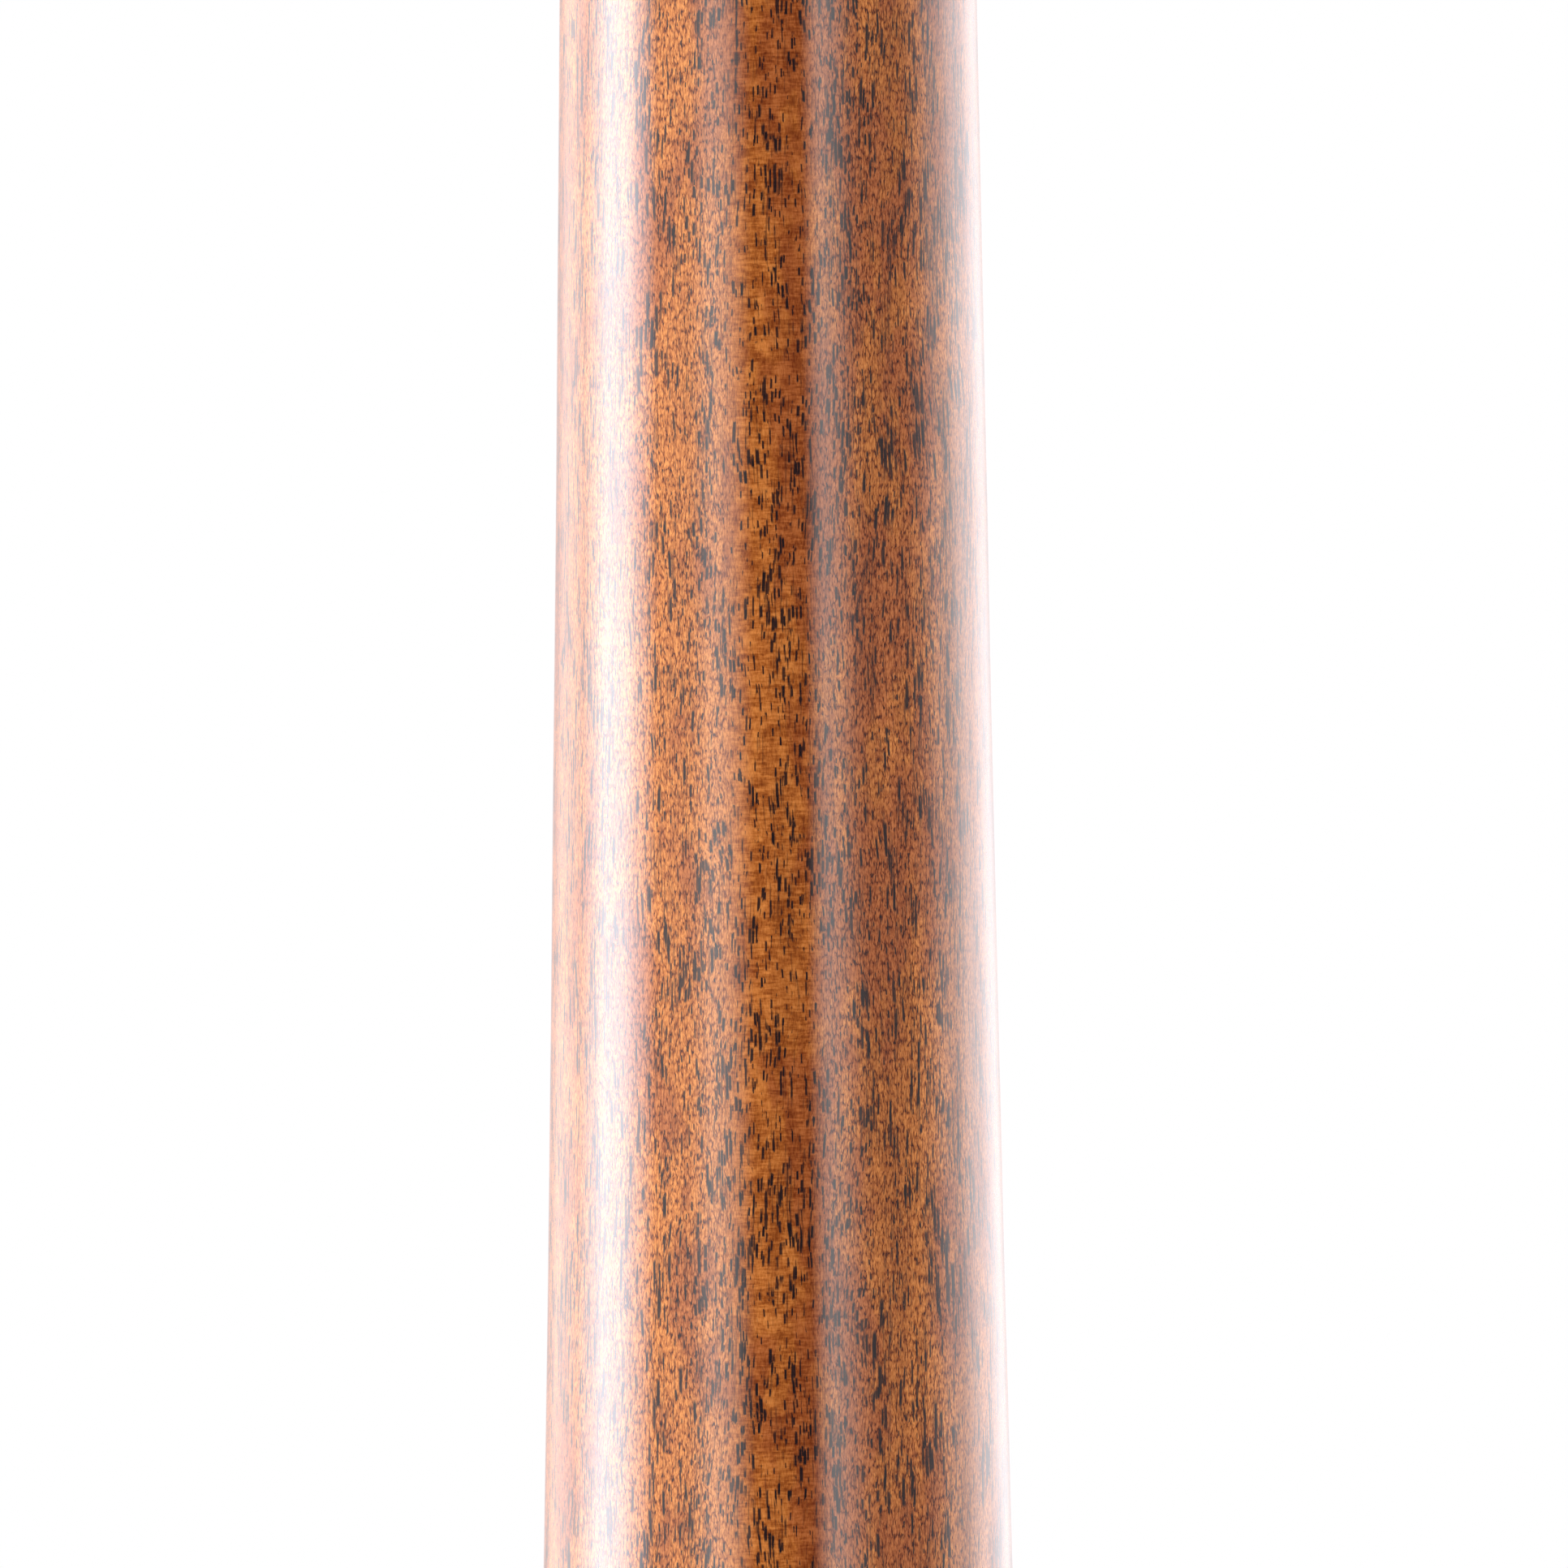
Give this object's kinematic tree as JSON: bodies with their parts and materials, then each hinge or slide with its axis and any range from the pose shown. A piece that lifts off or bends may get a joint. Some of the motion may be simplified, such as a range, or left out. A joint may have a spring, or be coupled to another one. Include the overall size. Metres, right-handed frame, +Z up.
{
  "type": "didgeridoo",
  "caption": "Turned hardwood didgeridoo: slim flared drone pipe in two glued halves, push-in mouthpiece with a wax lip, bound bell end.",
  "frame": {"origin": "centre of the bell's rest face, on the floor", "axes": "+Z up the bore from the bell to the mouthpiece; -Y is the front of the instrument, and the glued seam lies in the plane Y = 0"},
  "size_m": [0.1038, 0.1038, 1.3],
  "materials": {
    "lacquered_hardwood": "clear high-gloss lacquer over reddish brown hardwood with dark filled pores",
    "pale_hardwood": "planed, bare",
    "dark_hardwood": "turned, oiled and polished",
    "cork": "sanded sheet cork, lightly greased",
    "beeswax": "hand-moulded beeswax, satin"
  },
  "bodies": {
    "pipe": {"body_half_front": "lacquered_hardwood", "body_half_back": "lacquered_hardwood", "seam_tongue_left": "pale_hardwood", "seam_tongue_right": "pale_hardwood", "bell_ring": "dark_hardwood", "socket_ring": "dark_hardwood"},
    "mouthpiece": {"mouthpiece": "dark_hardwood", "tenon_cork": "cork", "lip_wax": "beeswax"}
  },
  "joints": [
    {"name": "mouthpiece_pull", "type": "slide", "parent": "pipe", "child": "mouthpiece", "axis": [0, 0, 1], "range_m": [0, 0.05]}
  ]
}
